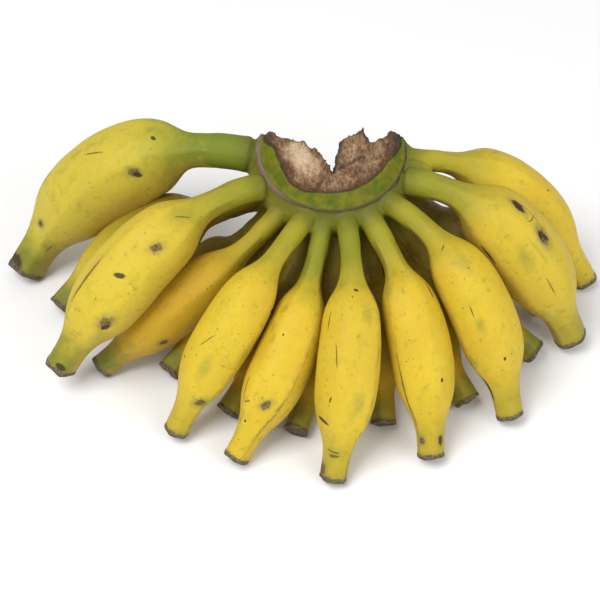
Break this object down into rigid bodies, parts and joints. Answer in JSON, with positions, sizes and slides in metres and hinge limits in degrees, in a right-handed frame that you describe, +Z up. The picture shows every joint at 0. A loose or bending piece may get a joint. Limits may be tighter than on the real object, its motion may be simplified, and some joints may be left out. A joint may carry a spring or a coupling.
{
  "type": "baby banana hand",
  "caption": "Hand of small ripe dessert bananas: short stubby fingers in two rows round a cut green and brown crown, resting on its finger tips.",
  "frame": {"origin": "centre of the bounding box's underside, on the surface that the finger tips rest on", "axes": "+X to the hand's right as the picture shows it, the longest extent; -Y towards the viewer, where the fingers fan out; +Z up, the shortest extent"},
  "size_m": [0.2668, 0.1527, 0.0852],
  "materials": {
    "peel_front": "satin ripe yellow peel, green at neck and tip, with brown specks",
    "peel_back": "satin yellow peel with more green",
    "crown": "green rind with a brown ridge and a dry fibrous brown cut face"
  },
  "bodies": {
    "root": {"crown": "crown", "finger_front_01": "peel_front", "finger_front_02": "peel_front", "finger_front_03": "peel_front", "finger_front_04": "peel_front", "finger_front_05": "peel_front", "finger_front_06": "peel_front", "finger_front_07": "peel_front", "finger_front_08": "peel_front", "finger_front_09": "peel_front", "finger_front_10": "peel_front", "finger_back_01": "peel_back", "finger_back_02": "peel_back", "finger_back_03": "peel_back", "finger_back_04": "peel_back", "finger_back_05": "peel_back", "finger_back_06": "peel_back", "finger_back_07": "peel_back", "finger_back_08": "peel_back", "finger_back_09": "peel_back"}
  },
  "joints": []
}
